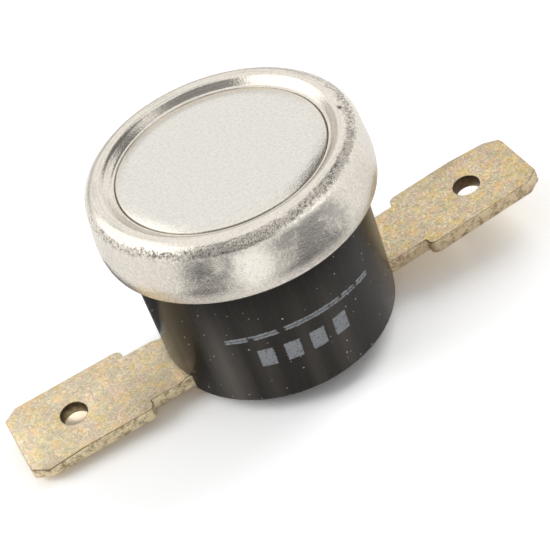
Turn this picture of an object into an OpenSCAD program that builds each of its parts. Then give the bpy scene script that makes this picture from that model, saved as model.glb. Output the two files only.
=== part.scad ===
// Snap-disc bimetal temperature switch: a drawn metal cap rolled onto a moulded body, with two
// flat blade terminals at its base. Millimetres, +Z up, origin at the centre of the base, blades along X.

/* [Housing] */
// Diameter of the moulded body below the cap
body_d = 12.5; // [12:0.1:13]
// Thickness of the body's wall around the contact chamber
body_wall = 1.2; // [1:0.05:1.4]
// Thickness of the body's floor above the terminals
floor_t = 1.3; // [1:0.05:1.8]
// Height of the contact chamber, from its floor to the ledge under the guide plate
chamber_h = 5.95; // [5.6:0.05:7]
// Width of the ledge that carries the guide plate
ledge_w = 0.75; // [0.4:0.05:0.9]
// Height of the flange that the cap is rolled onto
flange_h = 1.5; // [1.3:0.05:1.8]
// How far the flange stands out from the body
flange_out = 0.55; // [0.4:0.05:0.75]
// Bevel under the flange, where the cap's lip is rolled in
flange_bevel = 0.4; // [0.2:0.05:0.5]
// Width of the collar that stands inside the cap's rim
collar_w = 0.4; // [0.3:0.05:0.6]
// Radius of the rounded edge of the base
base_round = 0.25; // [0.1:0.05:0.4]
// Depth of the pockets that hold the feet of the inner brackets
pocket_depth = 0.2; // [0.1:0.05:0.4]

/* [Cap] */
// Thickness of the cap's sheet
cap_wall = 0.3; // [0.2:0.05:0.4]
// Radial room between the flange and the widest part of the cap
cap_room = 0.2; // [0.15:0.05:0.5]
// Room between the top of the collar and the cap's rim
rim_gap = 0.2; // [0.1:0.05:0.3]
// Flat width of the cap's rim, from its inner slope to its outer corner
rim_w = 1.0; // [0.9:0.05:1.6]
// How far the rim's outer corner stands in from the widest part of the cap
rim_in = 0.32; // [0.2:0.01:0.5]
// Radius of the cap's outer shoulder
shoulder_r = 0.8; // [0.5:0.05:0.9]
// Width of the inner slope, from the rim down to the retaining groove
groove_out = 0.5; // [0.4:0.02:0.8]
// Depth of the retaining groove below the rim
groove_depth = 0.4; // [0.3:0.05:0.5]
// Width of the slope from the groove up to the sensing face
groove_in = 0.7; // [0.5:0.02:0.8]
// Depth of the sensing face below the rim
face_drop = 0.2; // [0.05:0.01:0.25]
// How far the skirt draws in from the widest part to its lower edge
skirt_in = 0.14; // [0.05:0.01:0.4]
// Height of the widest part of the cap above the skirt's lower edge
bulge_h = 0.9; // [0.8:0.05:1.8]
// Width of the lip rolled under the flange
lip_w = 0.5; // [0.4:0.05:0.6]

/* [Disc and pin] */
// Diameter of the bimetal disc
disc_d = 10.6; // [9.6:0.1:10.8]
// Thickness of the bimetal disc
disc_t = 0.2; // [0.15:0.01:0.25]
// Height of the cold disc's crown
disc_crown = 0.3; // [0.2:0.02:0.34]
// Height of the guide plate from the ledge to the disc's seat
plate_h = 1.9; // [1.6:0.05:2]
// Depth of the dish below the disc's seat
dish_depth = 0.6; // [0.4:0.05:0.8]
// Width of the ring that the disc's edge sits on
seat_w = 0.5; // [0.3:0.05:0.7]
// Height of the lip that centres the disc
seat_lip = 0.25; // [0.1:0.05:0.3]
// Diameter of the transfer pin
pin_d = 1.2; // [1:0.05:1.4]
// Height of the domes at the transfer pin's ends
pin_dome = 0.12; // [0.08:0.01:0.2]
// How far the guide plate's boss reaches down the transfer pin
boss_h = 1.5; // [1:0.1:1.7]
// Thickness of the wall of that boss
boss_wall = 0.8; // [0.5:0.05:1]

/* [Terminals] */
// Width of a blade
tab_w = 4.8; // [4.6:0.1:5.2]
// Thickness of a blade
tab_t = 0.8; // [0.6:0.05:0.9]
// Width of a terminal's neck, where it enters the body
neck_w = 3.66; // [3:0.05:4]
// Distance from the axis to the tip of a blade, measured along the terminal
tab_tip = 15.25; // [14.6:0.05:16.5]
// Length of a blade from its shoulder to its tip
tab_len = 6.95; // [6.4:0.05:7.6]
// Distance from the tip to the detent hole
hole_back = 3.27; // [3:0.01:3.8]
// Diameter of the detent hole
hole_d = 1.45; // [1.3:0.05:1.6]
// Corners cut off the blade's tip
tip_cut = 0.8; // [0.5:0.05:1]
// Radius of the blade's shoulder corners
tab_round = 0.35; // [0.2:0.05:0.45]
// Length of the coined facet at one corner of the tip
coin_len = 3.1; // [2:0.1:3.6]
// Width of the coined facet at the tip
coin_w = 1.0; // [0.6:0.05:1.3]
// Depth of the coined facet at its corner
coin_depth = 0.3; // [0.1:0.05:0.4]
// Height of a blade's underside above the base
tab_lift = 0.22; // [0.05:0.01:0.3]
// Distance outside the body where the blades are bent
bend_out = 0.2; // [0.1:0.05:0.5]
// Angle by which the spring arm's blade is bent up
arm_bend = 4.5; // [0:0.5:8]
// Angle by which the fixed contact's blade is twisted
fixed_twist = 5; // [0:0.5:8]
// Room beside a neck in its slot
slot_room = 0.2; // [0.1:0.05:0.3]
// Diameter of a terminal rivet's shank
rivet_d = 1.2; // [1:0.05:1.4]
// How far a rivet's heads stand out from its shank
rivet_out = 0.35; // [0.25:0.05:0.4]
// Height of a rivet's formed head in the chamber
rivet_head = 0.35; // [0.25:0.05:0.45]
// Depth of a rivet's flush head in its terminal
sink_h = 0.4; // [0.25:0.05:0.5]

/* [Contacts] */
// Thickness of the inner brackets
bracket_t = 0.4; // [0.3:0.05:0.45]
// Width of the inner brackets
bracket_w = 3.0; // [2.6:0.1:3.2]
// Inner radius of the brackets' bends
bend_r = 0.3; // [0.15:0.05:0.4]
// Length of a bracket's foot
foot_len = 2.9; // [2.8:0.05:3.2]
// Room between a bracket and the chamber's wall
bracket_room = 0.4; // [0.35:0.05:0.5]
// Height of the spring arm above the brackets' feet
arm_h = 1.6; // [1.5:0.05:1.9]
// Thickness of the spring arm
arm_t = 0.15; // [0.1:0.01:0.2]
// Width of the spring arm
arm_w = 2.4; // [2:0.1:2.6]
// Length of the spring arm's seat on its bracket, from the outer face in to the line where the arm flexes
arm_seat = 2.05; // [1.9:0.05:2.3]
// Distance from the fixed bracket's outer face in to the contact pair
contact_reach = 2.05; // [1.8:0.05:2.3]
// Diameter of the contact buttons
button_d = 1.7; // [1.4:0.1:1.8]
// Height of the contact buttons
button_h = 0.4; // [0.3:0.05:0.5]
// Diameter of the contacts' riveted shanks
shank_d = 0.8; // [0.6:0.05:0.9]
// Height of the contacts' riveted tails
tail_h = 0.2; // [0.15:0.05:0.3]
// Diameter of the rivet that holds the spring arm
arm_rivet_d = 0.7; // [0.6:0.05:0.8]
// Height of that rivet's heads
arm_rivet_head = 0.22; // [0.15:0.01:0.28]

/* [Hidden] */
$fn = 96;
// Running room of the transfer pin in its guide
pin_room = 0.05;
// Film between faces that only touch
touch = 0.02;
// Radial room of the guide plate in the body, and of the disc in its lip
plate_room = 0.05;
disc_room = 0.1;
// Drop of the flange's underside below the ledge
flange_drop = 0.1;
// Least widths of the guide plate's lip round the disc, and of the flange round the guide plate
lip_least = 0.3;
flange_least = 1.0;
// Room between a rivet's head and the bend beside it
head_room = 0.05;
// Length by which a bent blade laps the flat neck
lap = 0.2;
// Extra length that carries a cut past a face
past = 1;
// Small corner radii of stamped and moulded edges
stamp_r = 0.15;
// Share of the flat beside it that a fillet may take
fillet_share = 0.9;
// Radial room between the ledge's bore and the collar
collar_room = 0.2;
// Straight steps that make up one rounded corner
corner_steps = 8;
// Radii of the cap's corners, from the sensing face to the lip
cap_radii = [0, 0.9, 0.08, 0.45, shoulder_r, 2.5, cap_wall, 0];
// Rise of the cap's lip towards the flange
lip_rise = 0.08;

tab_top = tab_lift + tab_t;
chamber_z = tab_top + floor_t;
ledge_z = chamber_z + chamber_h;
body_r = body_d / 2;
chamber_r = body_r - body_wall;
disc_r = disc_d / 2;
ledge_r = max(chamber_r + ledge_w, disc_r + disc_room + lip_least + plate_room);
flange_r = max(body_r + flange_out, ledge_r + flange_least);
flange_z = ledge_z - flange_drop;
flange_top = flange_z + flange_h;
collar_r = ledge_r + collar_room;

seat_z = ledge_z + plate_h;
crown_z = seat_z + disc_crown;
plate_r = ledge_r - plate_room;
guide_r = pin_d / 2 + pin_room;

foot_z = chamber_z - pocket_depth;
arm_z = foot_z + bracket_t + arm_h;
arm_top = arm_z + arm_t;
fixed_face = arm_top + button_h + touch;
plate_under = fixed_face + button_h;

// Places along X: the brackets stand at the chamber's wall, and each rivet's head clears the bend beside it
bracket_x = chamber_r - bracket_room;
bend_start = bracket_x - bracket_t - bend_r - head_room;
rivet_head_d = rivet_d + 2 * rivet_out;
rivet_x = bend_start - rivet_head_d / 2;
arm_head_d = arm_rivet_d + rivet_out;
arm_rivet_x = bend_start - arm_head_d / 2;
flex_x = bracket_x - arm_seat;
contact_x = bracket_x - contact_reach;
bend_x = body_r + bend_out;

// Heights of the cap, measured up from the disc: the groove retains the disc's edge
groove_z = seat_z + disc_t + 2 * disc_room + cap_wall;
rim_z = groove_z + groove_depth;
face_z = rim_z - face_drop;
collar_z = rim_z - cap_wall - rim_gap;
bulge_r = flange_r + cap_room + cap_wall;
rim_r = bulge_r - rim_in - rim_w;
groove_r = rim_r - groove_out;
face_r = groove_r - groove_in;
skirt_z = flange_z - cap_wall - lip_rise + touch;

// Unit vector from a to b, and the direction to the left of d
function toward(a, b) = (b - a) / norm(b - a);
function left(d) = [-d[1], d[0]];
function turned(v, a) = [v[0] * cos(a) - v[1] * sin(a), v[0] * sin(a) + v[1] * cos(a)];
function cross2(a, b) = a[0] * b[1] - a[1] * b[0];
function backwards(p) = [for (i = [len(p) - 1:-1:0]) p[i]];

// Directions into and out of corner i of an open path
function into(p, i) = toward(p[max(i - 1, 0)], p[max(i, 1)]);
function out_of(p, i) = toward(p[min(i, len(p) - 2)], p[min(i + 1, len(p) - 1)]);
function turn(p, i) = cross2(into(p, i), out_of(p, i));

// Open path moved to its left by d, with mitred corners
function beside(p, d) = [
    for (i = [0:len(p) - 1])
        let (m = left(into(p, i)) + left(out_of(p, i)))
        p[i] + m * (2 * d / (m * m))
];

// Corner radii of that path, so that the sheet between the two keeps one thickness
function radii_beside(p, r, d) = [for (i = [0:len(p) - 1]) max(0, r[i] - sign(turn(p, i)) * d)];

// Open path with corner i rounded to radius r[i]
function rounded(p, r) = [
    for (i = [0:len(p) - 1])
        let (
            a = into(p, i),
            angle = atan2(turn(p, i), a * out_of(p, i)),
            start = p[i] - a * r[i] * tan(abs(angle) / 2),
            centre = start + left(a) * sign(angle) * r[i]
        )
        for (k = [0:r[i] > 0 && angle != 0 ? corner_steps : 0])
            r[i] > 0 && angle != 0 ? centre + turned(start - centre, angle * k / corner_steps) : p[i]
];

// Arc over a shallow dome of plan radius r and height h, from its top on the axis to its edge
function dome(r, h, top) =
    let (
        sphere_r = (r * r + h * h) / (2 * h),
        half = asin(r / sphere_r)
    )
    [for (k = [0:corner_steps])
        let (a = half * k / corner_steps)
        [sphere_r * sin(a), top + sphere_r * (cos(a) - 1)]];

// Section of a sheet of thickness t, lying to the right of a path with rounded corners
module sheet(p, r, t) {
    polygon(concat(rounded(p, r), backwards(rounded(beside(p, -t), radii_beside(p, r, -t)))));
}

// Flat sheet bent along a path in X and Z, of width w along Y
module bent_strip(p, r, t, w) {
    translate([0, w / 2, 0])
        rotate([90, 0, 0])
            linear_extrude(w)
                sheet(p, r, t);
}

// Rivet along Z from z0 to z1, with a low head beyond each end
module rivet(shank, head, height, z0, z1) {
    translate([0, 0, z0])
        cylinder(d = shank, h = z1 - z0);
    translate([0, 0, z1])
        head_form(head, height);
    translate([0, 0, z0])
        mirror([0, 0, 1])
            head_form(head, height);
}

// Flush head of a terminal rivet, which also cuts the countersink in the terminal's eye
module flush_head() {
    translate([rivet_x, 0, tab_lift])
        cylinder(d1 = rivet_head_d, d2 = rivet_d, h = sink_h);
}

// Flat-topped head with a rounded edge
module head_form(d, h) {
    rotate_extrude()
        polygon(concat([[0, 0]], rounded([[d / 2, 0], [d / 2, h], [0, h]], [0, h * 0.7, 0])));
}

// Open slot in the base that takes a terminal's neck and its rivet eye
module neck_slot() {
    slot_w = neck_w + 2 * slot_room;
    translate([0, 0, -past])
        linear_extrude(tab_top + past) {
            translate([rivet_x, -slot_w / 2])
                square([body_r, slot_w]);
            translate([rivet_x, 0])
                circle(d = slot_w);
        }
}

// Pocket in the chamber's floor that stops a bracket's foot from turning
module foot_pocket() {
    translate([bracket_x - foot_len - slot_room, -bracket_w / 2 - slot_room, foot_z])
        cube([foot_len + 2 * slot_room, bracket_w + 2 * slot_room, pocket_depth + past]);
}

module housing() {
    // Fillet under the flange, limited by the flat beside it
    under_r = min(stamp_r, fillet_share * (flange_r - flange_bevel - body_r));
    color([0.13, 0.12, 0.115])
        difference() {
            rotate_extrude()
                polygon(concat(
                    [[0, 0]],
                    rounded(
                        [[body_r - past, 0], [body_r, 0], [body_r, flange_z], [flange_r - flange_bevel, flange_z],
                            [flange_r, flange_z + flange_bevel], [flange_r, flange_top],
                            [collar_r + collar_w, flange_top], [collar_r + collar_w, collar_z],
                            [collar_r, collar_z], [collar_r, flange_top], [ledge_r, flange_top],
                            [ledge_r, ledge_z], [chamber_r, ledge_z], [chamber_r, chamber_z]],
                        [0, base_round, under_r, 0, stamp_r, stamp_r, 0, stamp_r, stamp_r, 0, stamp_r, 0, stamp_r, 0]
                    ),
                    [[0, chamber_z]]
                ));
            for (side = [0, 180])
                rotate([0, 0, side]) {
                    neck_slot();
                    foot_pocket();
                    translate([rivet_x, 0, 0])
                        cylinder(d = rivet_d, h = ledge_z);
                }
        }
}

module cap() {
    path = [[0, face_z], [face_r, face_z], [groove_r, groove_z], [rim_r, rim_z], [rim_r + rim_w, rim_z],
        [bulge_r, skirt_z + bulge_h], [bulge_r - skirt_in, skirt_z],
        [bulge_r - skirt_in - lip_w, skirt_z + lip_rise]];
    color([0.86, 0.85, 0.82])
        rotate_extrude()
            sheet(path, cap_radii, cap_wall);
}

// Shallow dome whose edge rests on the guide plate's seat
module bimetal_disc() {
    color([0.72, 0.66, 0.56])
        rotate_extrude()
            polygon(concat(
                dome(disc_r, disc_crown, crown_z),
                backwards(dome(disc_r, disc_crown, crown_z + disc_t))
            ));
}

module guide_plate() {
    boss_r = guide_r + boss_wall;
    lip_r = disc_r + disc_room;
    seat_r = lip_r - seat_w - disc_room;
    color([0.55, 0.36, 0.22])
        rotate_extrude()
            polygon([[guide_r, ledge_z - boss_h], [boss_r, ledge_z - boss_h], [boss_r, ledge_z],
                [plate_r, ledge_z], [plate_r, seat_z + seat_lip], [lip_r, seat_z + seat_lip], [lip_r, seat_z],
                [seat_r, seat_z], [seat_r, seat_z - dish_depth], [guide_r, seat_z - dish_depth]]);
}

// Ceramic pin with a shallow dome at each end, from the spring arm up to the disc's crown
module transfer_pin() {
    low = arm_top + touch;
    high = crown_z - touch;
    color([0.93, 0.91, 0.86])
        rotate_extrude()
            polygon(concat(
                [for (p = dome(pin_d / 2, pin_dome, 0)) [p[0], low - p[1]]],
                backwards(dome(pin_d / 2, pin_dome, high))
            ));
}

// Cut that coins a sloping facet into the top of one corner of a blade's tip
module coined_corner(tip) {
    run = norm([coin_len, coin_w]);
    reach = coin_len * coin_w / run;
    translate([tip, tab_w / 2 - coin_w, 0])
        rotate([0, 0, atan2(coin_w, -coin_len)])
            rotate([atan(coin_depth / reach), 0, 0])
                translate([-run, -3 * reach, 0])
                    cube([3 * run, 3 * reach, tab_t]);
}

// Shouldered blade with a detent hole, measured from the line where it is bent, with its top at z = 0
module blade() {
    tip = tab_tip - bend_x;
    shoulder = tip - tab_len;
    outline = [[-lap, -neck_w / 2], [shoulder, -neck_w / 2], [shoulder, -tab_w / 2], [tip - tip_cut, -tab_w / 2],
        [tip, tip_cut - tab_w / 2], [tip, tab_w / 2 - tip_cut], [tip - tip_cut, tab_w / 2], [shoulder, tab_w / 2],
        [shoulder, neck_w / 2], [-lap, neck_w / 2]];
    radii = [0, stamp_r, tab_round, tab_round, stamp_r, stamp_r, tab_round, tab_round, stamp_r, 0];
    difference() {
        translate([0, 0, -tab_t])
            linear_extrude(tab_t)
                difference() {
                    polygon(rounded(outline, radii));
                    translate([tip - hole_back, 0])
                        circle(d = hole_d);
                }
        coined_corner(tip);
    }
}

// Stamped terminal: a rivet eye and neck flat in the body's slot, then a blade bent up or twisted outside it
module terminal(bend, twist) {
    color([0.78, 0.69, 0.49]) {
        difference() {
            translate([0, 0, tab_lift])
                linear_extrude(tab_t)
                    difference() {
                        union() {
                            translate([rivet_x, -neck_w / 2])
                                square([bend_x - rivet_x, neck_w]);
                            translate([rivet_x, 0])
                                circle(d = neck_w);
                        }
                        translate([rivet_x, 0])
                            circle(d = rivet_d);
                    }
            flush_head();
        }
        translate([bend_x, 0, tab_top])
            rotate([twist, -bend, 0])
                blade();
    }
}

module arm_terminal() {
    terminal(arm_bend, 0);
}

module fixed_terminal() {
    rotate([0, 0, 180])
        terminal(0, -fixed_twist);
}

// Two rivets, each clamping a terminal, the floor and a bracket's foot
module terminal_rivets() {
    foot_top = foot_z + bracket_t;
    color([0.8, 0.72, 0.5])
        for (side = [0, 180])
            rotate([0, 0, side]) {
                flush_head();
                translate([rivet_x, 0, tab_lift])
                    cylinder(d = rivet_d, h = foot_top - tab_lift);
                translate([rivet_x, 0, foot_top])
                    head_form(rivet_head_d, rivet_head);
            }
}

// Bracket bent up from its foot, with an upper leaf at height top that reaches in to x = reach
module bracket(top, reach, hole_x, hole_d) {
    path = [[bracket_x - foot_len, foot_z], [bracket_x, foot_z], [bracket_x, top], [reach, top]];
    outer = bend_r + bracket_t;
    difference() {
        bent_strip(backwards(path), [0, outer, outer, 0], bracket_t, bracket_w);
        translate([rivet_x, 0, foot_z - past])
            cylinder(d = rivet_d, h = bracket_t + 2 * past);
        translate([hole_x, 0, top - bracket_t - past / 2])
            cylinder(d = hole_d, h = bracket_t + past);
    }
}

module arm_bracket() {
    color([0.8, 0.68, 0.38])
        bracket(arm_z, flex_x, arm_rivet_x, arm_rivet_d);
}

module fixed_bracket() {
    color([0.8, 0.68, 0.38])
        rotate([0, 0, 180])
            bracket(plate_under + bracket_t, contact_x - button_d / 2, contact_x, shank_d);
}

module arm_rivet() {
    color([0.8, 0.72, 0.5])
        translate([arm_rivet_x, 0, 0])
            rivet(arm_rivet_d, arm_head_d, arm_rivet_head, arm_z - bracket_t, arm_top);
}

// Spring leaf clamped on the arm bracket, with a round free end under the fixed contact
module contact_arm() {
    color([0.82, 0.58, 0.36])
        translate([0, 0, arm_z])
            linear_extrude(arm_t)
                difference() {
                    union() {
                        translate([-contact_x, -arm_w / 2])
                            square([contact_x + bracket_x - bend_r, arm_w]);
                        translate([-contact_x, 0])
                            circle(d = arm_w);
                    }
                    translate([-contact_x, 0])
                        circle(d = shank_d);
                    translate([arm_rivet_x, 0])
                        circle(d = arm_rivet_d);
                }
}

// Contact rivet: a button with a bevelled face, a shank through the carrier and a riveted tail
module contact(carrier_t) {
    bevel = button_h / 2;
    rotate_extrude()
        polygon([[0, -carrier_t - tail_h], [shank_d * 0.8, -carrier_t - tail_h], [shank_d * 0.8, -carrier_t],
            [shank_d / 2, -carrier_t], [shank_d / 2, 0], [button_d / 2, 0], [button_d / 2, button_h - bevel],
            [button_d / 2 - bevel, button_h], [0, button_h]]);
}

module moving_contact() {
    color([0.86, 0.86, 0.84])
        translate([-contact_x, 0, arm_top])
            contact(arm_t);
}

module fixed_contact() {
    color([0.86, 0.86, 0.84])
        translate([-contact_x, 0, plate_under])
            mirror([0, 0, 1])
                contact(bracket_t);
}

housing();
cap();
bimetal_disc();
guide_plate();
transfer_pin();
fixed_terminal();
arm_terminal();
terminal_rivets();
fixed_bracket();
arm_bracket();
arm_rivet();
contact_arm();
fixed_contact();
moving_contact();
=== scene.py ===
import math

import bpy
from mathutils import Matrix, Vector, noise


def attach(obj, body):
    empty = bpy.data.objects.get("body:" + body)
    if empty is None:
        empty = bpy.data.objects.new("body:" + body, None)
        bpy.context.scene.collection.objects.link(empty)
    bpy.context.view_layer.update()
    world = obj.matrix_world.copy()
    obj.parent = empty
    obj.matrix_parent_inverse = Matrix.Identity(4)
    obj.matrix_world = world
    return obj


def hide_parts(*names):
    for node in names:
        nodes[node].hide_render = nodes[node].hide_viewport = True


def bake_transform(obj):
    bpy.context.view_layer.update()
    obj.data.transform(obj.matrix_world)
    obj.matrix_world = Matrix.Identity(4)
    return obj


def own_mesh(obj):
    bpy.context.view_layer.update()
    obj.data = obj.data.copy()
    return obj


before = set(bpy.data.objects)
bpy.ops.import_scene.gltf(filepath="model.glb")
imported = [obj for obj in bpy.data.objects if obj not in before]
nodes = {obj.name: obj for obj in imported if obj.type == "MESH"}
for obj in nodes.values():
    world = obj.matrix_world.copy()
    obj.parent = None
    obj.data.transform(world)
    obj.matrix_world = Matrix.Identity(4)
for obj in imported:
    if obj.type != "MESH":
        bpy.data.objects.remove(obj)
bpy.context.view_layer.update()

mm = 0.001
near = 0.01  # places closer than this are the same, in millimetres
almost = 0.999  # keeps two roundings from meeting
drillLength = 4  # of the round cutters, in millimetres


# Camera, as the photograph was taken: a long lens from the front, turned so that the axis leans left
cameraSettings = {
    "target": (2.090, 7.284, -3.816),
    "azimuth": -12.616,
    "elevation": 40.362,
    "roll": 21.043,
    "distance": 97.863,
    "lens": 111.27,
    "sensor": 36.0,
}


def placeCamera(s):
    az, el, roll = (math.radians(s[k]) for k in ("azimuth", "elevation", "roll"))
    back = Vector((math.sin(az) * math.cos(el), -math.cos(az) * math.cos(el), math.sin(el)))
    right = Vector((0, 0, 1)).cross(back).normalized()
    turned = Matrix((right, back.cross(right), back)).transposed() @ Matrix.Rotation(-roll, 3, "Z")
    bpy.ops.object.camera_add()
    camera = bpy.context.object
    camera.name = "photoCamera"
    camera.data.lens = s["lens"]
    camera.data.sensor_width = s["sensor"]
    camera.data.clip_start = mm
    eye = (Vector(s["target"]) + back * s["distance"]) * mm
    camera.matrix_world = Matrix.Translation(eye) @ turned.to_4x4()
    bpy.context.scene.camera = camera


# Shader maths: a socket that takes part in Python expressions
class Wire:
    def __init__(self, tree, socket=None):
        self.tree = tree
        self.socket = socket

    # any node: its type, its settings, the output to take, and its sockets by name or number
    def node(self, kind, settings=None, out=0, **inputs):
        made = self.tree.nodes.new("ShaderNode" + kind)
        for key, value in (settings or {}).items():
            setattr(made, key, value)
        for key, value in inputs.items():
            socket = made.inputs[int(key[1:]) if key[1:].isdigit() else key.replace("_", " ")]
            if isinstance(value, Wire):
                self.tree.links.new(value.socket, socket)
            elif socket.type == "RGBA" and len(value) == 3:
                socket.default_value = (*value, 1)
            else:
                socket.default_value = value
        return Wire(self.tree, made.outputs[out])

    # another output of the same node
    def other(self, name):
        return Wire(self.tree, self.socket.node.outputs[name])

    def math(self, operation, *others):
        values = {f"i{k + 1}": other for k, other in enumerate(others)}
        return self.node("Math", {"operation": operation}, i0=self, **values)

    def __add__(self, other):
        return self.math("ADD", other)

    def __radd__(self, other):
        return self.math("ADD", other)

    def __sub__(self, other):
        return self.math("SUBTRACT", other)

    def __rsub__(self, other):
        return self.node("Math", {"operation": "SUBTRACT"}, i0=other, i1=self)

    def __mul__(self, other):
        return self.math("MULTIPLY", other)

    def __rmul__(self, other):
        return self.math("MULTIPLY", other)

    # soft step from 0 at low to 1 at high
    def step(self, low, high):
        return self.node("MapRange", {"interpolation_type": "SMOOTHSTEP"}, i0=self, i1=low, i2=high)

    # 1 between low and high, with soft ends
    def within(self, low, high, soft):
        return self.step(low - soft, low + soft) - self.step(high - soft, high + soft)

    # colour a where this is 0, colour b where it is 1
    def mix(self, a, b):
        return self.node("Mix", {"data_type": "RGBA"}, 2, i0=self, i6=a, i7=b)

    def noise(self, scale, detail, rough):
        return self.node("TexNoise", Vector=self, Scale=scale, Detail=detail, Roughness=rough)

    # distance to the nearest of many random points; the Color output is random for each point
    def cells(self, scale):
        return self.node("TexVoronoi", Vector=self, Scale=scale)

    def split(self):
        first = self.node("SeparateXYZ", Vector=self)
        return first, first.other("Y"), first.other("Z")

    def stretched(self, x, y, z):
        return self.node("Mapping", {"vector_type": "POINT"}, Vector=self, Scale=(x, y, z))

    # 1 around a point, falling to 0 between two distances
    def near(self, point, full, none):
        away = self.node("VectorMath", {"operation": "DISTANCE"}, 1, i0=self, i1=point)
        return 1 - away.step(full, none)


def newMaterial(name):
    material = bpy.data.materials.new(name)
    material.use_nodes = True
    tree = material.node_tree
    tree.nodes.clear()
    place = Wire(tree).node("TexCoord", out=3)  # object coordinates
    return material, place


def closeMaterial(shader, kind="Material"):
    output = shader.tree.nodes.new("ShaderNodeOutput" + kind)
    shader.tree.links.new(shader.socket, output.inputs["Surface"])


# normal for a surface whose height has the given depth, in millimetres
def bumped(height, depth):
    return height.node("Bump", Strength=1.0, Distance=depth * mm, Height=height)


def principled(colour, roughness, normal, **fixed):
    return colour.node("BsdfPrincipled", Base_Color=colour, Roughness=roughness, Normal=normal, **fixed)


# place in millimetres, and its x, y and z
def inMillimetres(place):
    scaled = place.node("VectorMath", {"operation": "SCALE"}, i0=place, Scale=1 / mm)
    return scaled, *scaled.split()


# a point at an angle from the front, in degrees, towards +X
def onRound(angle, radius, z):
    a = math.radians(angle)
    return radius * math.sin(a), -radius * math.cos(a), z


capShoulder = (6.18, 10.47)  # centre of the rim's outer rounding, in r and z
capFront = (0, -6, 11)  # the tool marks lie round this point

# Satin rolled metal: speckled face, turned rim, tool marks on the shoulder, mottled barrel; painted shade in
# the crease and the tool marks' pits, painted dark reflections and a painted highlight on the barrel
capFinish = {
    "light": (0.83, 0.80, 0.735),
    "warm": (0.875, 0.81, 0.715),
    "shade": (0.39, 0.37, 0.34),
    "paintedPitShade": (0.14, 0.115, 0.105),
    "tan": (0.93, 0.885, 0.80),
    # noises: features for each millimetre, detail, roughness
    "grain": (9.0, 3.0, 0.65),
    "speck": (6.5, 4.0, 0.75),
    "mottle": (1.3, 5.0, 0.7),
    "ragged": (1.6, 4.0, 0.7),
    "turning": (1.0, 3.0, 0.65),
    "rings": (11, 0.3, 0.25),  # turning marks for each millimetre across, their drift, and along
    # radii between which a finish comes in, and those of the crease, painted dark as shade, with its softness
    "rimFrom": (4.9, 5.6),
    "wallFrom": (6.75, 7.1),
    "crease": (5.37, 5.45, 0.03),
    # tool marks round the shoulder's arc, in radians: from, to and softness, lean for each millimetre of x,
    # and raggedness
    "marks": (0.62, 1.1, 0.16),
    "marksLean": 0.045,
    "marksRagged": 0.9,
    # places, with the distances at which their effect is full and gone: the tool marks, the painted dark
    # reflections on the barrel, the painted highlight and the nick painted dark as shade
    "marksReach": (8.0, 11.5),
    "mottleAndPaintedReflections": [onRound(-29, 7.15, 10.3), onRound(4, 7.2, 9.9), onRound(17, 7.2, 9.8)],
    "paintedReflectionsReach": (0.5, 2.0),
    "paintedHighlight": onRound(-15, 7.2, 9.6),
    "paintedHighlightReach": (0.5, 1.3),
    "nick": (6.09, -1.53, 11.22),
    "nickReach": (0.06, 0.17),
    "roughness": 0.13,
    "relief": 0.013,
}


def capMetal(s):
    material, place = newMaterial("capMetal")
    p, x, y, z = inMillimetres(place)
    radius = (x * x + y * y).math("SQRT")
    grain, speck, mottle, ragged = (p.noise(*s[name]) for name in ("grain", "speck", "mottle", "ragged"))
    # turning marks: noise that is drawn out round the axis
    often, drift, slow = s["rings"]
    ring = p.node("CombineXYZ", X=radius * often + x * drift, Y=z * often + y * drift, Z=(x + y) * slow)
    turned = ring.noise(*s["turning"])
    wall = radius.step(*s["wallFrom"])
    rim = radius.step(*s["rimFrom"]) * (1 - wall)
    # tool marks run along the shoulder's arc
    around = (radius - capShoulder[0]).math("ARCTAN2", z - capShoulder[1])
    along = around + x * s["marksLean"] + (ragged - 0.5) * s["marksRagged"]
    marks = along.within(*s["marks"]) * p.near(capFront, *s["marksReach"])
    crinkle = speck.step(0.42, 0.66) * marks * (0.45 + ragged.step(0.4, 0.6) * 0.55)
    # mottled darkening of the barrel, with painted dark reflections at given places
    mottleAndPaintedReflections = 0.08 * wall
    for spot in s["mottleAndPaintedReflections"]:
        mottleAndPaintedReflections = mottleAndPaintedReflections + p.near(spot, *s["paintedReflectionsReach"]) * 0.9
    # painted highlight on the barrel
    paintedHighlight = p.near(s["paintedHighlight"], *s["paintedHighlightReach"])
    # painted shade along the crease
    crease = radius.within(*s["crease"])
    # darker: random speckle, turning marks, mottle and grain, with the painted shade and painted dark
    # reflections
    dullAndPaintedShade = speck.step(0.36, 0.72) * 0.30 + turned.step(0.46, 0.7) * rim * 0.36 + crease * 0.75
    dullAndPaintedShade = dullAndPaintedShade + wall * mottle.step(0.26, 0.70) * mottleAndPaintedReflections + wall * grain.step(0.38, 0.64) * 0.28
    colour = dullAndPaintedShade.math("MINIMUM", 0.9).mix((wall + rim).mix(s["light"], s["warm"]), s["shade"])
    # the painted highlight, in a pale tan
    colour = (paintedHighlight * (1 - speck.step(0.42, 0.70) * 0.7)).mix(colour, s["tan"])
    # the nick and the tool marks' pits painted dark as shade
    nick = p.near(s["nick"], *s["nickReach"])
    colour = (crinkle * 0.95).math("MAXIMUM", nick).mix(colour, s["paintedPitShade"])
    roughness = s["roughness"] + grain * 0.07 + wall * 0.09 + crinkle * 0.15
    height = grain * 0.7 + speck * wall + turned * rim * 0.5 - crinkle * 2.0
    closeMaterial(principled(colour, roughness, bumped(height, s["relief"]), Metallic=1.0))
    return material
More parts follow.
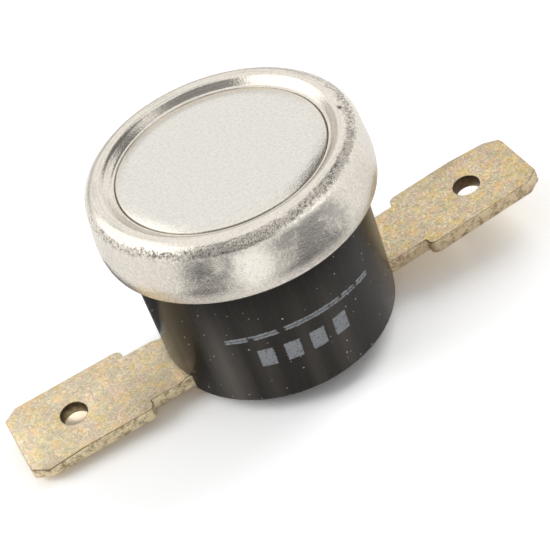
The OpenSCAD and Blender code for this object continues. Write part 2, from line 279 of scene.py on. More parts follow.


# Black moulding with a worn pale print on its front, paler upright streaks as painted reflections, and
# painted shade under the cap
bodyFinish = {
    "black": (0.010, 0.0085, 0.007),
    "worn": (0.024, 0.0205, 0.017),
    "paintedSheen": (0.12, 0.102, 0.088),
    "dust": (0.55, 0.53, 0.50),
    "print": (0.29, 0.305, 0.325),
    "gloss": (0.26, 0.10),
    "tint": (1.0, 0.92, 0.82),
    "roughness": 0.16,
    "relief": 0.012,
    # noises: features for each millimetre, detail, roughness
    "streak": (3.0, 3.0, 0.65),
    "fine": (11.0, 2.0, 0.6),
    "grain": (14.0, 3.0, 0.6),
    "ragged": (7.0, 2.0, 0.6),
    "breaks": (1.5, 2.0, 0.6),
    "wear": (9.0, 3.0, 0.65),
    "dustCells": 2.6,
    "dustSize": (0.09, 0.17),
    "dustShare": (0.38, 0.43),
    # painted reflections as paler streaks: place along the arc, half width, strength; and the heights between
    # which they fade
    "paintedReflectionStreaks": [(-5.0, 1.4, 1.0), (-2.9, 0.7, 0.4), (-0.6, 0.7, 0.35), (1.2, 1.1, 0.5), (5.6, 1.6, 0.6)],
    "paintedStreaksFade": (2.0, 7.5),
    "radius": 6.25,
    "skin": (-0.05, -0.03),  # the outer surface begins here, from the radius
    "ruleEnds": (-4.5, 3.9, 0.1),  # along the arc, and softness
    "ruleTop": (4.54, -0.9, 0.014),  # height, its place along the arc, bow
    "ruleGap": 0.085,  # half the distance between the two lines
    "ruleLine": (0.045, 0.085),  # distances from a line's middle where it is full and gone
    "blocks": (-3.1, 1.35, 4),  # start of the first along the arc, pitch, count
    "blockSize": (0.8, 1.1),
    "blockFoot": 2.5,
    "blockSoft": 0.04,
    # x and z between which the duller zones begin and end; the one under the cap is painted shade
    "dullLeft": (-5.7, -4.4),
    "paintedShadeTop": (5.0, 8.0),
}


def bodyPhenolic(s):
    material, place = newMaterial("bodyPhenolic")
    p, x, y, z = inMillimetres(place)
    arc = x.math("ARCTAN2", y * -1) * s["radius"]
    streak = p.stretched(1, 1, 0.05).noise(*s["streak"])
    fine = p.stretched(1, 1, 0.1).noise(*s["fine"])
    grain = p.noise(*s["grain"])
    colour = (streak.step(0.42, 0.75) * 0.5 + fine.step(0.5, 0.75) * 0.4).mix(s["black"], s["worn"])
    # painted reflections: paler upright streaks, fading towards the cap
    fading = (1 - z.step(*s["paintedStreaksFade"])) * (0.4 + streak * 0.6)
    for middle, half, strength in s["paintedReflectionStreaks"]:
        band = 1 - (arc - middle).math("ABSOLUTE").step(0.0, half)
        colour = (band * fading * strength).mix(colour, s["paintedSheen"])
    # print: two worn rule lines and a row of blocks
    outer = (x * x + y * y).math("SQRT").step(*(s["radius"] + v for v in s["skin"]))
    ragged = (p.noise(*s["ragged"]) - 0.5) * 0.22
    top, middle, bow = s["ruleTop"]
    off = arc - middle
    height = z - top + off * off * bow + ragged * 0.6
    pair = (height.math("ABSOLUTE") - s["ruleGap"]).math("ABSOLUTE")
    breaks = p.stretched(1, 1, 0.4).noise(*s["breaks"]).step(0.32, 0.44)
    inked = (1 - pair.step(*s["ruleLine"])) * arc.within(*s["ruleEnds"]) * breaks
    first, pitch, count = s["blocks"]
    wide, high = s["blockSize"]
    foot, soft = s["blockFoot"], s["blockSoft"]
    upright = (z + ragged * 0.5).within(foot, foot + high, soft)
    for k in range(count):
        low = first + pitch * k
        inked = inked + (arc + ragged * 0.5).within(low, low + wide, soft) * upright
    inked = inked * (1 - p.noise(*s["wear"]).step(0.55, 0.65) * 0.85) * outer
    colour = inked.math("MINIMUM", 1.0).mix(colour, s["print"])
    # dust
    dots = p.cells(s["dustCells"])
    kept, size, _ = dots.other("Color").split()
    dust = (1 - (dots + size * 0.07).step(*s["dustSize"])) * kept.step(*s["dustShare"]) * outer
    colour = (dust * 0.8).mix(colour, s["dust"])
    roughness = s["roughness"] + streak * 0.08 + fine * 0.06 + inked * 0.3 + dust * 0.4
    normal = bumped(grain * 0.25 + fine * 0.3 + streak * 0.5 + inked * 0.4, s["relief"])
    # duller beside the left blade, and under the cap as painted shade: a matte copy with a lower specular
    # level
    dullAndPaintedShade = (1 - x.step(*s["dullLeft"])).math("MAXIMUM", z.step(*s["paintedShadeTop"]) * 0.8)
    glossy, matte = [principled(colour, roughness, normal, Specular_IOR_Level=level, Specular_Tint=s["tint"])
                     for level in s["gloss"]]
    closeMaterial(dullAndPaintedShade.node("MixShader", i0=dullAndPaintedShade, i1=glossy, i2=matte))
    return material


# Yellow passivated plate: a mosaic of tinted crystals, brown sheared edges, hole walls painted dark as shade,
# a painted shade line with painted glints along the edges, and the left blade painted paler as painted light
plateFinish = {
    "low": (0.50, 0.385, 0.215),
    "high": (0.96, 0.835, 0.565),
    "tints": [(0.80, 0.47, 0.38), (0.57, 0.54, 0.29), (0.90, 0.60, 0.15), (0.56, 0.46, 0.36)],
    "cream": (0.96, 0.88, 0.71),
    "drab": (0.36, 0.29, 0.21),
    "edge": (0.68, 0.54, 0.36),
    "edgeDark": (0.27, 0.185, 0.105),
    "hole": (0.075, 0.045, 0.025),
    "holeX": 11.98,
    "holeRadius": 0.725,
    "holeFade": (0.01, 0.05),
    # by how much the surface faces up: the sides, and the painted shade line with painted glints along the
    # edges
    "sideFrom": (0.35, 0.5),
    "paintedEdgeLine": (0.45, 0.86, 0.02),
    "crystals": 9.5,
    # noises: features for each millimetre, detail, roughness
    "bend": (3.0, 2.0, 0.5),
    "fine": (6.0, 5.0, 0.75),
    "broad": (0.55, 2.0, 0.5),
    "patch": (1.7, 3.0, 0.6),
    "smear": (1.7, 6.0, 0.78),
    "paintedGlints": (4.5, 2.0, 0.6),
    "roughness": 0.30,
    "relief": 0.012,
}


def terminalPlate(s):
    material, place = newMaterial("terminalPlate")
    p, x, y, _ = inMillimetres(place)
    bent = p.node("VectorMath", {"operation": "ADD"}, i0=p, i1=p.noise(*s["bend"]).other("Color"))
    one, two, three = bent.cells(s["crystals"]).other("Color").split()
    fine = bent.noise(*s["fine"])
    broad = p.noise(*s["broad"]).other("Color").split()
    patch = p.noise(*s["patch"]).other("Color").split()
    colour = (one * 0.35 + fine.step(0.40, 0.60) * 0.65).mix(s["low"], s["high"])
    picks = [two.step(0.55, 0.8), 1 - two.step(0.2, 0.45), three.step(0.55, 0.8), 1 - three.step(0.2, 0.45)]
    fields = [patch[0], 1 - patch[0], patch[1], 1 - patch[1]]
    for tint, pick, field in zip(s["tints"], picks, fields):
        colour = ((pick * 0.4 + 0.28) * field.step(0.46, 0.62)).mix(colour, tint)
    dirty = patch[2].step(0.5, 0.7) * broad[1].step(0.4, 0.6) * fine.step(0.35, 0.6)
    colour = (dirty * 0.45).mix(colour, s["drab"])
    colour = (fine.step(0.56, 0.72) * broad[2].step(0.35, 0.6) * 0.75).mix(colour, s["cream"])
    # pale and dark grains
    colour = (one.step(0.72, 0.9) * 0.45).mix(colour, s["cream"])
    colour = ((1 - one.step(0.08, 0.28)) * 0.4).mix(colour, s["drab"])
    # edges, by the way the surface faces
    up = place.node("NewGeometry", None, 1).split()[2].math("ABSOLUTE")
    smear = p.noise(*s["smear"])
    # the left blade's edges and face painted paler: painted light
    left = 1 - x.step(-1.0, 1.0)
    edge = (left * 0.7 + fine * 0.4).math("MINIMUM", 1.0).mix(s["edge"], s["high"])
    edge = (smear.step(0.45, 0.62) * 0.8 + fine.step(0.46, 0.66) * 0.2).mix(edge, s["edgeDark"])
    # the left blade's face, painted paler as painted light
    colour = (left * 0.12).mix(colour, s["cream"])
    # painted shade line with painted glints, on the rounded edges between the top and the sides
    paintedGlints = p.stretched(1, 0.3, 0.3).noise(*s["paintedGlints"]).step(0.58, 0.66)
    line = paintedGlints.mix(s["edgeDark"], s["cream"])
    side = 1 - up.step(*s["sideFrom"])
    colour = side.mix(colour, edge)
    # the painted shade line and glints, on the rounded edges
    colour = (up.within(*s["paintedEdgeLine"]) * 0.8).mix(colour, line)
    # hole walls painted dark: painted shade inside the holes
    fromHole = x.math("ABSOLUTE") - s["holeX"]
    hole = 1 - (fromHole * fromHole + y * y).math("SQRT").step(*(s["holeRadius"] + v for v in s["holeFade"]))
    colour = (hole * (0.7 + smear * 0.3)).mix(colour, s["hole"])
    roughness = s["roughness"] + fine * 0.16 + side * 0.08
    normal = bumped(fine * 0.6 + one * 0.4, s["relief"])
    closeMaterial(principled(colour, roughness, normal, Metallic=1.0))
    return material


# Plain finishes of the inner pieces: colour, darker colour, grains for each millimetre, roughness, metallic
innerFinishes = {
    "rivetMetal": ((0.60, 0.50, 0.28), (0.42, 0.33, 0.17), 6.0, 0.35, 1.0),
    "bracketBrass": ((0.66, 0.50, 0.22), (0.50, 0.36, 0.15), 4.0, 0.32, 1.0),
    "springBronze": ((0.62, 0.36, 0.18), (0.48, 0.26, 0.13), 5.0, 0.3, 1.0),
    "contactSilver": ((0.80, 0.80, 0.78), (0.62, 0.61, 0.58), 7.0, 0.22, 1.0),
    "discBimetal": ((0.50, 0.46, 0.40), (0.40, 0.36, 0.31), 5.0, 0.36, 1.0),
    "guidePhenolic": ((0.22, 0.12, 0.06), (0.15, 0.08, 0.04), 3.0, 0.55, 0.0),
    "pinCeramic": ((0.85, 0.82, 0.76), (0.74, 0.70, 0.63), 6.0, 0.6, 0.0),
}


def innerMaterial(name):
    light, dark, grainScale, rough, metallic = innerFinishes[name]
    material, place = newMaterial(name)
    p, *_ = inMillimetres(place)
    grain = p.noise(grainScale, 3.0, 0.55)
    colour = grain.step(0.35, 0.7).mix(light, dark)
    closeMaterial(principled(colour, rough + grain * 0.12, bumped(grain, 0.01), Metallic=metallic))
    return material


# Modelling helpers
def startPiece(name, add, **settings):
    bpy.ops.object.select_all(action="DESELECT")
    add(**settings)
    piece = bpy.context.object
    piece.name = piece.data.name = name
    return piece


def makeActive(piece):
    bpy.ops.object.select_all(action="DESELECT")
    piece.select_set(True)
    bpy.context.view_layer.objects.active = piece


def selectAll():
    bpy.ops.mesh.select_all(action="SELECT")


def edit(piece):
    makeActive(piece)
    bpy.ops.object.mode_set(mode="EDIT")
    bpy.ops.mesh.select_mode(type="VERT")
    selectAll()


def leave():
    bpy.ops.object.mode_set(mode="OBJECT")


# turns all faces outward and leaves edit mode
def closePiece():
    selectAll()
    bpy.ops.mesh.normals_make_consistent(inside=False)
    leave()


# The next five work in edit mode and take millimetres
def shift(x, y, z):
    bpy.ops.transform.translate(value=(x * mm, y * mm, z * mm))


def extrude(x, y, z):
    bpy.ops.mesh.extrude_region_move(TRANSFORM_OT_translate={"value": (x * mm, y * mm, z * mm)})


# rounds the chosen corners of a flat outline
def roundCorners(radius, segments):
    bpy.ops.mesh.bevel(affect="VERTICES", offset=radius * mm, segments=segments)


# makes a slab of a flat outline and leaves edit mode
def thicken(height):
    selectAll()
    extrude(0, 0, height)
    closePiece()


# an edge line across a piece, where a plane meets it
def crossLine(point, normal):
    selectAll()
    bpy.ops.mesh.bisect(plane_co=[v * mm for v in point], plane_no=normal)


# chooses vertices by their place, in millimetres, from inside edit mode
def choose(piece, test):
    bpy.ops.mesh.select_all(action="DESELECT")
    leave()
    for vertex in piece.data.vertices:
        vertex.select = test(vertex.co / mm)
    bpy.ops.object.mode_set(mode="EDIT")


def applyModifier(piece, kind, **settings):
    makeActive(piece)
    modifier = piece.modifiers.new(kind.lower(), kind)
    for key, value in settings.items():
        setattr(modifier, key, value)
    bpy.ops.object.modifier_apply(modifier=modifier.name)


def cutWith(piece, cutter):
    applyModifier(piece, "BOOLEAN", operation="DIFFERENCE", object=cutter, solver="EXACT")
    bpy.data.objects.remove(cutter)


# an upright round hole through a piece
def drill(piece, x, z, width, sides):
    cutWith(piece, startPiece("drillCutter", bpy.ops.mesh.primitive_cylinder_add, vertices=sides,
                              radius=width / 2 * mm, depth=drillLength * mm, location=(x * mm, 0, z * mm)))


def smooth(piece, angle):
    makeActive(piece)
    bpy.ops.object.shade_smooth_by_angle(angle=math.radians(angle))


# open path in r and z with its corners rounded to the given radii, each in so many steps
def roundedPath(points, radii, steps):
    path = []
    for k, (point, radius, count) in enumerate(zip(points, radii, steps)):
        p = Vector(point)
        if not radius:
            path.append(p)
            continue
        a = (p - Vector(points[k - 1])).normalized()
        b = (Vector(points[k + 1]) - p).normalized()
        turn = math.atan2(a.x * b.y - a.y * b.x, a.dot(b))
        start = p - a * radius * math.tan(abs(turn) / 2)
        centre = start + Vector((-a.y, a.x)) * math.copysign(radius, turn)
        for j in range(count + 1):
            path.append(centre + Matrix.Rotation(turn * j / count, 2) @ (start - centre))
    return path


# same path with no gap longer than the given step
def closePath(path, step):
    close = [path[0]]
    for a, b in zip(path, path[1:]):
        count = max(1, math.ceil((b - a).length / step))
        close += [a.lerp(b, k / count) for k in range(1, count + 1)]
    return close


# a path in r and z, in millimetres, drawn as a wire and spun once round the axis
def spinPath(name, path, turns):
    piece = startPiece(name, bpy.ops.mesh.primitive_plane_add, size=mm)
    edit(piece)
    bpy.ops.mesh.merge(type="CENTER")
    shift(path[0].x, 0, path[0].y)
    for a, b in zip(path, path[1:]):
        step = ((b.x - a.x) * mm, 0, (b.y - a.y) * mm)
        bpy.ops.mesh.extrude_vertices_move(TRANSFORM_OT_translate={"value": step})
    selectAll()
    bpy.ops.mesh.spin(steps=turns, angle=2 * math.pi, center=(0, 0, 0), axis=(0, 0, 1))
    selectAll()
    bpy.ops.mesh.remove_doubles(threshold=mm * 0.001)
    closePiece()
    return piece


# Cap: sensing face, groove, rim, shoulder, barrel and rolled lip, as one drawn sheet
capSettings = {
    "outside": [(0, 11.07), (4.78, 11.07), (5.48, 10.87), (5.98, 11.27), (6.98, 11.27), (7.3, 8.71),
                (7.16, 7.81), (6.66, 7.89)],
    "rounds": [0, 3.6, 0, 0.45, 0.8, 2.5, 0.3, 0],
    "insideRounds": [0, 0.6, 0.38, 0.15, 0.5, 2.2, 0, 0],
    "steps": [0, 10, 3, 8, 16, 8, 5, 0],
    "insideSteps": 4,
    "wall": 0.3,
    # the corner that the groove replaces, both ends of its floor, half width and depth of the crease at the
    # inner end
    "groove": (2, (5.41, 10.87), (5.57, 10.86), 0.05, 0.1),
    "grooveRounds": [0.03, 0, 0.02, 0.22],
    "grooveSteps": [2, 0, 2, 8],
    "turns": 600,
    "step": 0.16,
    "insideStep": 1.2,
    # tool marks: size and depth; where they begin, are full and end, in degrees round the shoulder; lean for
    # each millimetre of x; raggedness in degrees and its features for each millimetre; distances from the
    # front where they are full and gone
    "marks": (0.12, 0.03),
    "marksBand": (22, 38, 52, 68),
    "marksLean": 2.6,
    "marksRagged": (25, 1.5),
    "marksReach": (8, 12),
    "skin": 0.65,  # the outside is farther than this from the shoulder's centre
    # the barrel's unevenness: size and depth, radii and heights between which it comes and goes
    "dents": (1.1, 0.03),
    "dentsFrom": (6.95, 7.12),
    "dentsFoot": (8.0, 8.6),
    "dentsHead": (10.4, 11.0),
    # place, reach, depth, share of the reach that goes down all the way
    "nick": ((6.09, -1.53, 11.27), 0.17, 0.07, 0.6),
}


# weights of a vertex group, from each vertex's place in millimetres
def weigh(piece, name, weight):
    group = piece.vertex_groups.new(name=name)
    for vertex in piece.data.vertices:
        w = weight(vertex.co / mm)
        if w > 0:
            group.add([vertex.index], w, "REPLACE")


def ruffle(piece, name, size, depth, weight):
    weigh(piece, name, weight)
    texture = bpy.data.textures.new(name, "CLOUDS")
    texture.noise_scale = size * mm
    texture.noise_depth = 2
    applyModifier(piece, "DISPLACE", texture=texture, texture_coords="LOCAL", strength=depth * mm,
                  mid_level=0.5, vertex_group=name)


def ramp(value, low, high):
    t = min(1, max(0, (value - low) / (high - low)))
    return t * t * (3 - 2 * t)


def makeCap(s):
    outside, wall = [Vector(point) for point in s["outside"]], s["wall"]
    inside = []
    for k, point in enumerate(outside):
        a = point - outside[k - 1] if k else outside[1] - point
        b = outside[k + 1] - point if k + 1 < len(outside) else a
        side = Vector((a.y, -a.x)).normalized() + Vector((b.y, -b.x)).normalized()
        inside.append(point + side * (2 * wall / side.length_squared))
    # a narrow floor in the groove, with a sharp crease at the foot of the face
    corner, inner, outer, half, deep = s["groove"]
    inner, outer = Vector(inner), Vector(outer)
    before = inner + (outside[corner - 1] - inner).normalized() * half
    after = inner + (outer - inner).normalized() * half
    outside[corner:corner + 1] = [before, inner - Vector((0, deep)), after, outer]
    rounds = s["rounds"][:corner] + s["grooveRounds"] + s["rounds"][corner + 1:]
    steps = s["steps"][:corner] + s["grooveSteps"] + s["steps"][corner + 1:]
    path = closePath(roundedPath(outside, rounds, steps), s["step"])
    back = roundedPath(inside[::-1], s["insideRounds"][::-1], [s["insideSteps"]] * len(inside))
    path += closePath(back, s["insideStep"])
    cap = spinPath("capShell", path, s["turns"])
    centre = Vector(capShoulder)
    begins, full, wanes, ends = s["marksBand"]
    wander, often = s["marksRagged"]

    def marked(p):
        r = math.hypot(p.x, p.y)
        around = math.degrees(math.atan2(r - centre.x, p.z - centre.y))
        outer = math.hypot(r - centre.x, p.z - centre.y) > s["skin"]
        front = 1 - ramp((p - Vector(capFront)).length, *s["marksReach"])
        along = around + s["marksLean"] * p.x + wander * noise.noise(p * often)
        return outer * front * ramp(along, begins, full) * (1 - ramp(along, wanes, ends))

    def barrel(p):
        r = math.hypot(p.x, p.y)
        return ramp(r, *s["dentsFrom"]) * ramp(p.z, *s["dentsFoot"]) * (1 - ramp(p.z, *s["dentsHead"]))

    ruffle(cap, "dents", *s["dents"], barrel)
    ruffle(cap, "marks", *s["marks"], marked)
    place, reach, depth, core = s["nick"]
    edit(cap)
    choose(cap, lambda p: (p - Vector(place)).length < reach * core)
    bpy.ops.transform.translate(value=(0, 0, -depth * mm), use_proportional_edit=True,
                                proportional_size=reach * mm)
    leave()
    smooth(cap, 60)
    return cap


# Body: moulded cup with a flange for the cap and open slots for the necks
bodySettings = {
    "outside": [(0, 0), (6.25, 0), (6.25, 8.17), (6.4, 8.17), (6.8, 8.57), (6.8, 9.67), (6.4, 9.67),
                (6.4, 10.77), (6.0, 10.77), (6.0, 9.67), (5.8, 9.67), (5.8, 8.27), (5.05, 8.27), (5.05, 2.32),
                (0, 2.32)],
    "rounds": [0, 0.25, 0.13, 0, 0.15, 0.15, 0, 0.15, 0.15, 0, 0.15, 0, 0.15, 0, 0],
    "roundSteps": 6,
    "turns": 192,
    "slotWidth": 4.06,
    "slotTop": 1.08,
    "slotDrop": 1.0,  # how far its cutter starts under the base
    "slotReach": 8,  # and ends outside the wall
    "rivetX": 2.95,
    "rivetZ": 2.0,
    "rivetWidth": 1.2,
    "pocket": (1.55, 4.85, 1.7, 2.12),  # inner end, outer end, half width, floor
    "pocketHeight": 1.0,
}


def makeBody(s):
    path = roundedPath(s["outside"], s["rounds"], [s["roundSteps"]] * len(s["rounds"]))
    body = spinPath("phenolicBody", path, s["turns"])
    half = s["slotWidth"] / 2
    long = s["slotReach"] - s["rivetX"] + half
    low, high, wide, floor = s["pocket"]
    tall = s["pocketHeight"]
    for side in (1, -1):
        # slot for the neck, with a round inner end
        slot = startPiece("slotCutter", bpy.ops.mesh.primitive_plane_add, size=mm)
        edit(slot)
        bpy.ops.transform.resize(value=(long, 2 * half, 1))
        shift(side * (s["slotReach"] - long / 2), 0, -s["slotDrop"])
        choose(slot, lambda p: abs(p.x) < s["rivetX"])
        roundCorners(half * almost, 16)
        thicken(s["slotDrop"] + s["slotTop"])
        cutWith(body, slot)
        # pocket for the bracket's foot
        pocket = startPiece("pocketCutter", bpy.ops.mesh.primitive_cube_add, size=mm)
        edit(pocket)
        bpy.ops.transform.resize(value=(high - low, 2 * wide, tall))
        shift(side * (low + high) / 2, 0, floor + tall / 2)
        leave()
        cutWith(body, pocket)
        drill(body, side * s["rivetX"], s["rivetZ"], s["rivetWidth"], 48)
    smooth(body, 30)
    return body


# Terminals: one stamping with a rivet eye, a neck, a shouldered blade, a detent hole and a coined corner
terminalSettings = {
    "width": 4.8,
    "neck": 3.66,
    "thick": 0.8,
    "top": 1.02,
    "tip": 15.25,
    "shoulder": 8.3,
    "rivetX": 2.95,
    "rivetWidth": 1.2,
    "sinkWidth": 1.9,
    "sinkDepth": 0.4,
    "holeX": 11.98,
    "holeWidth": 1.45,
    "tipCut": 0.8,
    "cornerRound": 0.35,
    "coinLength": 3.1,
    "coinWidth": 1.0,
    "coinDepth": 0.3,
    "edgeRound": 0.06,
    "edgeAngle": 40,
    "bendX": 6.45,
    "bendStep": 0.12,
    # name, node, side, bend up and twist in degrees
    "pieces": [("armTerminal", "arm_terminal", 1, 4.5, 0), ("fixedTerminal", "fixed_terminal", -1, 0, -5)],
}


def makeTerminal(name, s, side, bend, twist):
    half, neck, tip, shoulder = s["width"] / 2, s["neck"] / 2, s["tip"], s["shoulder"]
    blade = startPiece(name, bpy.ops.mesh.primitive_plane_add, size=mm)
    edit(blade)
    bpy.ops.transform.resize(value=(tip - shoulder, s["width"], 1))
    shift((tip + shoulder) / 2, 0, 0)
    for y in (neck, -neck):  # lines where the neck meets the shoulder
        crossLine((0, y, 0), (0, 1, 0))
    choose(blade, lambda p: abs(p.x - shoulder) < near and abs(p.y) < neck + near)
    extrude(s["rivetX"] - neck - shoulder, 0, 0)
    roundCorners(neck * almost, 16)  # round eye
    choose(blade, lambda p: abs(p.x - tip) < near and abs(abs(p.y) - half) < near)
    roundCorners(s["tipCut"], 1)
    choose(blade, lambda p: abs(p.x - shoulder) < near and abs(abs(p.y) - half) < near)
    roundCorners(s["cornerRound"], 6)
    selectAll()
    bpy.ops.mesh.dissolve_limited(angle_limit=math.radians(1))
    thicken(-s["thick"])
    drill(blade, s["holeX"], 0, s["holeWidth"], 64)
    # coined corner: a slab tipped about the crease from the tip's end to the near edge
    run = math.hypot(s["coinLength"], s["coinWidth"])
    reach = s["coinLength"] * s["coinWidth"] / run
    coin = startPiece("coinCutter", bpy.ops.mesh.primitive_cube_add, size=2 * run * mm)
    edit(coin)
    shift(0, -run, run)
    leave()
    tilt = Matrix.Rotation(math.atan(s["coinDepth"] / reach), 4, "X")
    aim = Matrix.Rotation(math.atan2(s["coinWidth"], -s["coinLength"]), 4, "Z")
    coin.matrix_world = Matrix.Translation((tip * mm, (half - s["coinWidth"]) * mm, 0)) @ aim @ tilt
    cutWith(blade, coin)
    applyModifier(blade, "BEVEL", width=s["edgeRound"] * mm, segments=3, limit_method="ANGLE",
                  angle_limit=math.radians(s["edgeAngle"]))
    # countersunk rivet eye, kept sharp
    drill(blade, s["rivetX"], 0, s["rivetWidth"], 64)
    sink = startPiece("sinkCutter", bpy.ops.mesh.primitive_cone_add, vertices=64,
                      radius1=s["sinkWidth"] / 2 * mm, radius2=s["rivetWidth"] / 2 * mm,
                      depth=s["sinkDepth"] * mm,
                      location=(s["rivetX"] * mm, 0, (s["sinkDepth"] / 2 - s["thick"]) * mm))
    cutWith(blade, sink)
    # the bend and the twist come on over a short stretch outside the body
    edit(blade)
    stations = [s["bendX"] + s["bendStep"] * k for k in range(-2, 3)]
    for x in stations:
        crossLine((x, 0, 0), (1, 0, 0))
    leave()
    share = 1 / len(stations)
    bent = Matrix.Rotation(-math.radians(bend) * share, 4, "Y")
    part = bent @ Matrix.Rotation(math.radians(twist) * share, 4, "X")
    for x in stations:
        pivot = Vector((x * mm, 0, 0))
        for vertex in blade.data.vertices:
            if vertex.co.x > pivot.x - near / 2 * mm:
                vertex.co = pivot + part @ (vertex.co - pivot)
    turn = Matrix.Rotation(0 if side > 0 else math.pi, 4, "Z")
    blade.data.transform(turn @ Matrix.Translation((0, 0, s["top"] * mm)))
    smooth(blade, 30)
    return blade


# Spring leaf: clamped on its bracket, free at the contact
leafSettings = {
    "low": -2.6,
    "high": 4.35,
    "width": 2.4,
    "under": 4.12,
    "thick": 0.15,
    "shank": 0.8,
    "rivetX": 3.375,
    "rivetWidth": 0.7,
    "flexX": 2.6,
    "flexLength": 2,
    "flexLines": 9,
}


def makeLeaf(s):
    leaf = startPiece("springLeaf", bpy.ops.mesh.primitive_plane_add, size=mm)
    edit(leaf)
    half = s["width"] / 2
    bpy.ops.transform.resize(value=(s["high"] - s["low"] + half, s["width"], 1))
    shift((s["high"] + s["low"] - half) / 2, 0, s["under"])
    choose(leaf, lambda p: p.x < 0)
    roundCorners(half * almost, 16)
    thicken(s["thick"])
    for x, wide in ((s["low"], s["shank"]), (s["rivetX"], s["rivetWidth"])):
        drill(leaf, x, s["under"], wide, 40)
    # evenly spaced cross lines across the leaf
    edit(leaf)
    step = s["flexLength"] / (s["flexLines"] - 1)
    for k in range(s["flexLines"]):
        crossLine((s["flexX"] - step * k, 0, 0), (1, 0, 0))
    leave()
    smooth(leaf, 30)
    return leaf


# Snap disc: a shallow dome whose edge lies on the guide plate's seat
discSettings = {"radius": 5.3, "crown": 0.3, "seat": 10.17, "thick": 0.2, "steps": 10, "turns": 128}


def makeDisc(s):
    ball = (s["radius"] ** 2 + s["crown"] ** 2) / (2 * s["crown"])
    under = [Vector((s["radius"] * k / s["steps"], 0)) for k in range(s["steps"] + 1)]
    for p in under:
        p.y = s["seat"] + s["crown"] + math.sqrt(ball ** 2 - p.x ** 2) - ball
    over = [p + Vector((0, s["thick"])) for p in reversed(under)]
    disc = spinPath("snapDisc", under + over, s["turns"])
    smooth(disc, 30)
    return disc


# Floor, lights and a white surround, with cards that only the shiny surfaces see
stageSettings = {
    "floorSize": 1.6,
    "floorColour": 0.94,
    "floorLift": 0.50,  # how much brighter the paper is to the camera
    "mirrorLift": 0.16,  # and to the shiny surfaces
    # a painted pool of light on the paper under the left blade's hole: lift, place, and the distances where
    # it is full and gone
    "paintedLightLift": 2.6,
    "paintedLightPlace": (-11.6, 1.75, 0),
    "paintedLightReach": (0.5, 0.95),
    "floorDrop": 1.0,
    "floorTilt": 2.4,
    "worldLight": 0.5,
    "lamps": [
        {"name": "leftLamp", "place": (-0.42, 0.08, 0.42), "size": 0.4, "power": 1.35},
        {"name": "rightLamp", "place": (0.40, 0.18, 0.42), "size": 0.4, "power": 1.15},
    ],
    # direction as azimuth from the front and elevation, distance, width and height, grey
    "cards": [
        {"name": "overheadCard", "from": (-20, 58), "away": 0.30, "size": (0.36, 0.24), "grey": 0.30},
        {"name": "frontCard", "from": (-26, 12), "away": 0.30, "size": (0.36, 0.24), "grey": 0.10},
        {"name": "rightCard", "from": (100, 48), "away": 0.30, "size": (0.26, 0.17), "grey": 0.18},
        {"name": "backCard", "from": (180, 9), "away": 0.40, "size": (0.50, 0.14), "grey": 0.6},
        {"name": "leftCard", "from": (-112, 42), "away": 0.30, "size": (0.40, 0.26), "grey": 1.6},
        {"name": "brightCard", "from": (34, 10), "away": 0.30, "size": (0.28, 0.16), "grey": 1.5},
    ],
    # on the floor: middle, turn, size along and across, grey
    "floorCardHeight": 0.1,
    "floorCards": [
        {"name": "leftFloorCard", "middle": (-17.0, -14.2), "turn": -57, "size": (10, 14), "grey": 0.08},
        {"name": "rightFloorCard", "middle": (7.0, -20.0), "turn": 22, "size": (15, 17), "grey": 0.28},
        {"name": "backFloorCard", "middle": (-9.5, 7.2), "turn": 0, "size": (6, 8), "grey": 0.12},
    ],
}


# a plain card, grey or bright, that only mirrored rays see
def addCard(name, place, turn, size, grey):
    card = startPiece(name, bpy.ops.mesh.primitive_plane_add, size=1)
    card.scale = (*size, 1)
    card.location = place
    card.rotation_euler = turn
    bpy.ops.object.transform_apply(location=True, rotation=True, scale=True)
    card.visible_camera = card.visible_diffuse = card.visible_shadow = card.visible_transmission = False
    material, start = newMaterial(name)
    closeMaterial(start.node("Emission", Color=(grey, grey, grey), Strength=1.0))
    card.data.materials.append(material)


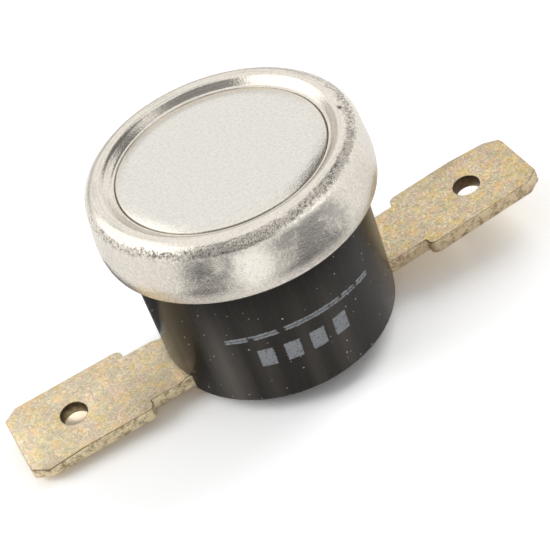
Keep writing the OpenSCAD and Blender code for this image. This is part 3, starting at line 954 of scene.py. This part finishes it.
def makeStage(s):
    floor = startPiece("paleFloor", bpy.ops.mesh.primitive_plane_add, size=s["floorSize"],
                       location=(0, 0, -s["floorDrop"] * mm), rotation=(0, math.radians(s["floorTilt"]), 0))
    material, place = newMaterial("floorPaper")
    seen = place.node("LightPath")
    full, none = s["paintedLightReach"]
    # painted pool of light under the left blade's hole
    spot = place.near([v * mm for v in s["paintedLightPlace"]], full * mm, none * mm)
    lift = spot * s["paintedLightLift"] + s["floorLift"]
    white = seen * lift + seen.other("Is Glossy Ray") * s["mirrorLift"] + s["floorColour"]
    closeMaterial(place.node("BsdfDiffuse", Color=place.node("CombineXYZ", X=white, Y=white, Z=white)))
    floor.data.materials.append(material)
    for c in s["cards"]:
        az, el = (math.radians(a) for a in c["from"])
        aim = Vector((math.sin(az) * math.cos(el), -math.cos(az) * math.cos(el), math.sin(el)))
        addCard(c["name"], aim * c["away"], aim.to_track_quat("Z", "Y").to_euler(), c["size"], c["grey"])
    for c in s["floorCards"]:
        middle = [v * mm for v in (*c["middle"], s["floorCardHeight"])]
        size = [v * mm for v in c["size"]]
        addCard(c["name"], middle, (0, 0, math.radians(c["turn"])), size, c["grey"])
    for lamp in s["lamps"]:
        bpy.ops.object.light_add(type="AREA", location=lamp["place"])
        light = bpy.context.object
        light.name = lamp["name"]
        light.data.shape = "DISK"
        light.data.size = lamp["size"]
        light.data.energy = lamp["power"]
        light.visible_glossy = False
        light.rotation_euler = Vector(lamp["place"]).to_track_quat("Z", "Y").to_euler()
    world = bpy.data.worlds.new("whiteSurround")
    bpy.context.scene.world = world
    world.use_nodes = True
    world.node_tree.nodes.clear()
    start = Wire(world.node_tree)
    rays = [start.node("LightPath", out=k) for k in (0, 3, 6)]  # camera, glossy, transmission
    seen = rays[0].math("MAXIMUM", rays[1]).math("MAXIMUM", rays[2])
    strength = seen * (1 - s["worldLight"]) + s["worldLight"]
    closeMaterial(start.node("Background", Color=(1, 1, 1), Strength=strength), "World")


def dress(piece, body, node, material):
    piece.data.materials.clear()
    piece.data.materials.append(material)
    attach(piece, body)
    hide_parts(node)


bpy.context.scene.view_settings.view_transform = "Standard"
placeCamera(cameraSettings)
makeStage(stageSettings)
print("stage and camera ready")

plate = terminalPlate(plateFinish)
dress(makeCap(capSettings), "switch_body", "cap", capMetal(capFinish))
print("cap ready")
dress(makeBody(bodySettings), "switch_body", "housing", bodyPhenolic(bodyFinish))
print("body ready")
for name, node, side, bend, twist in terminalSettings["pieces"]:
    blade = makeTerminal(name, terminalSettings, side, bend, twist)
    dress(blade, "switch_body", node, plate)
print("terminals ready")

leaf = makeLeaf(leafSettings)
leaf.data.materials.append(innerMaterial("springBronze"))
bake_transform(leaf)
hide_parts("contact_arm")
disc = makeDisc(discSettings)
dress(disc, "switch_body", "bimetal_disc", innerMaterial("discBimetal"))
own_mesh(disc)
print("spring leaf and snap disc ready")

# the inner pieces keep their solids and get a finish
innerNodes = {"guide_plate": "guidePhenolic", "transfer_pin": "pinCeramic", "terminal_rivets": "rivetMetal",
              "arm_rivet": "rivetMetal", "fixed_bracket": "bracketBrass", "arm_bracket": "bracketBrass",
              "fixed_contact": "contactSilver", "moving_contact": "contactSilver"}
finishes = {name: innerMaterial(name) for name in sorted(set(innerNodes.values()))}
for name, finish in innerNodes.items():
    nodes[name].data.materials.clear()
    nodes[name].data.materials.append(finishes[finish])
print("inner pieces ready")
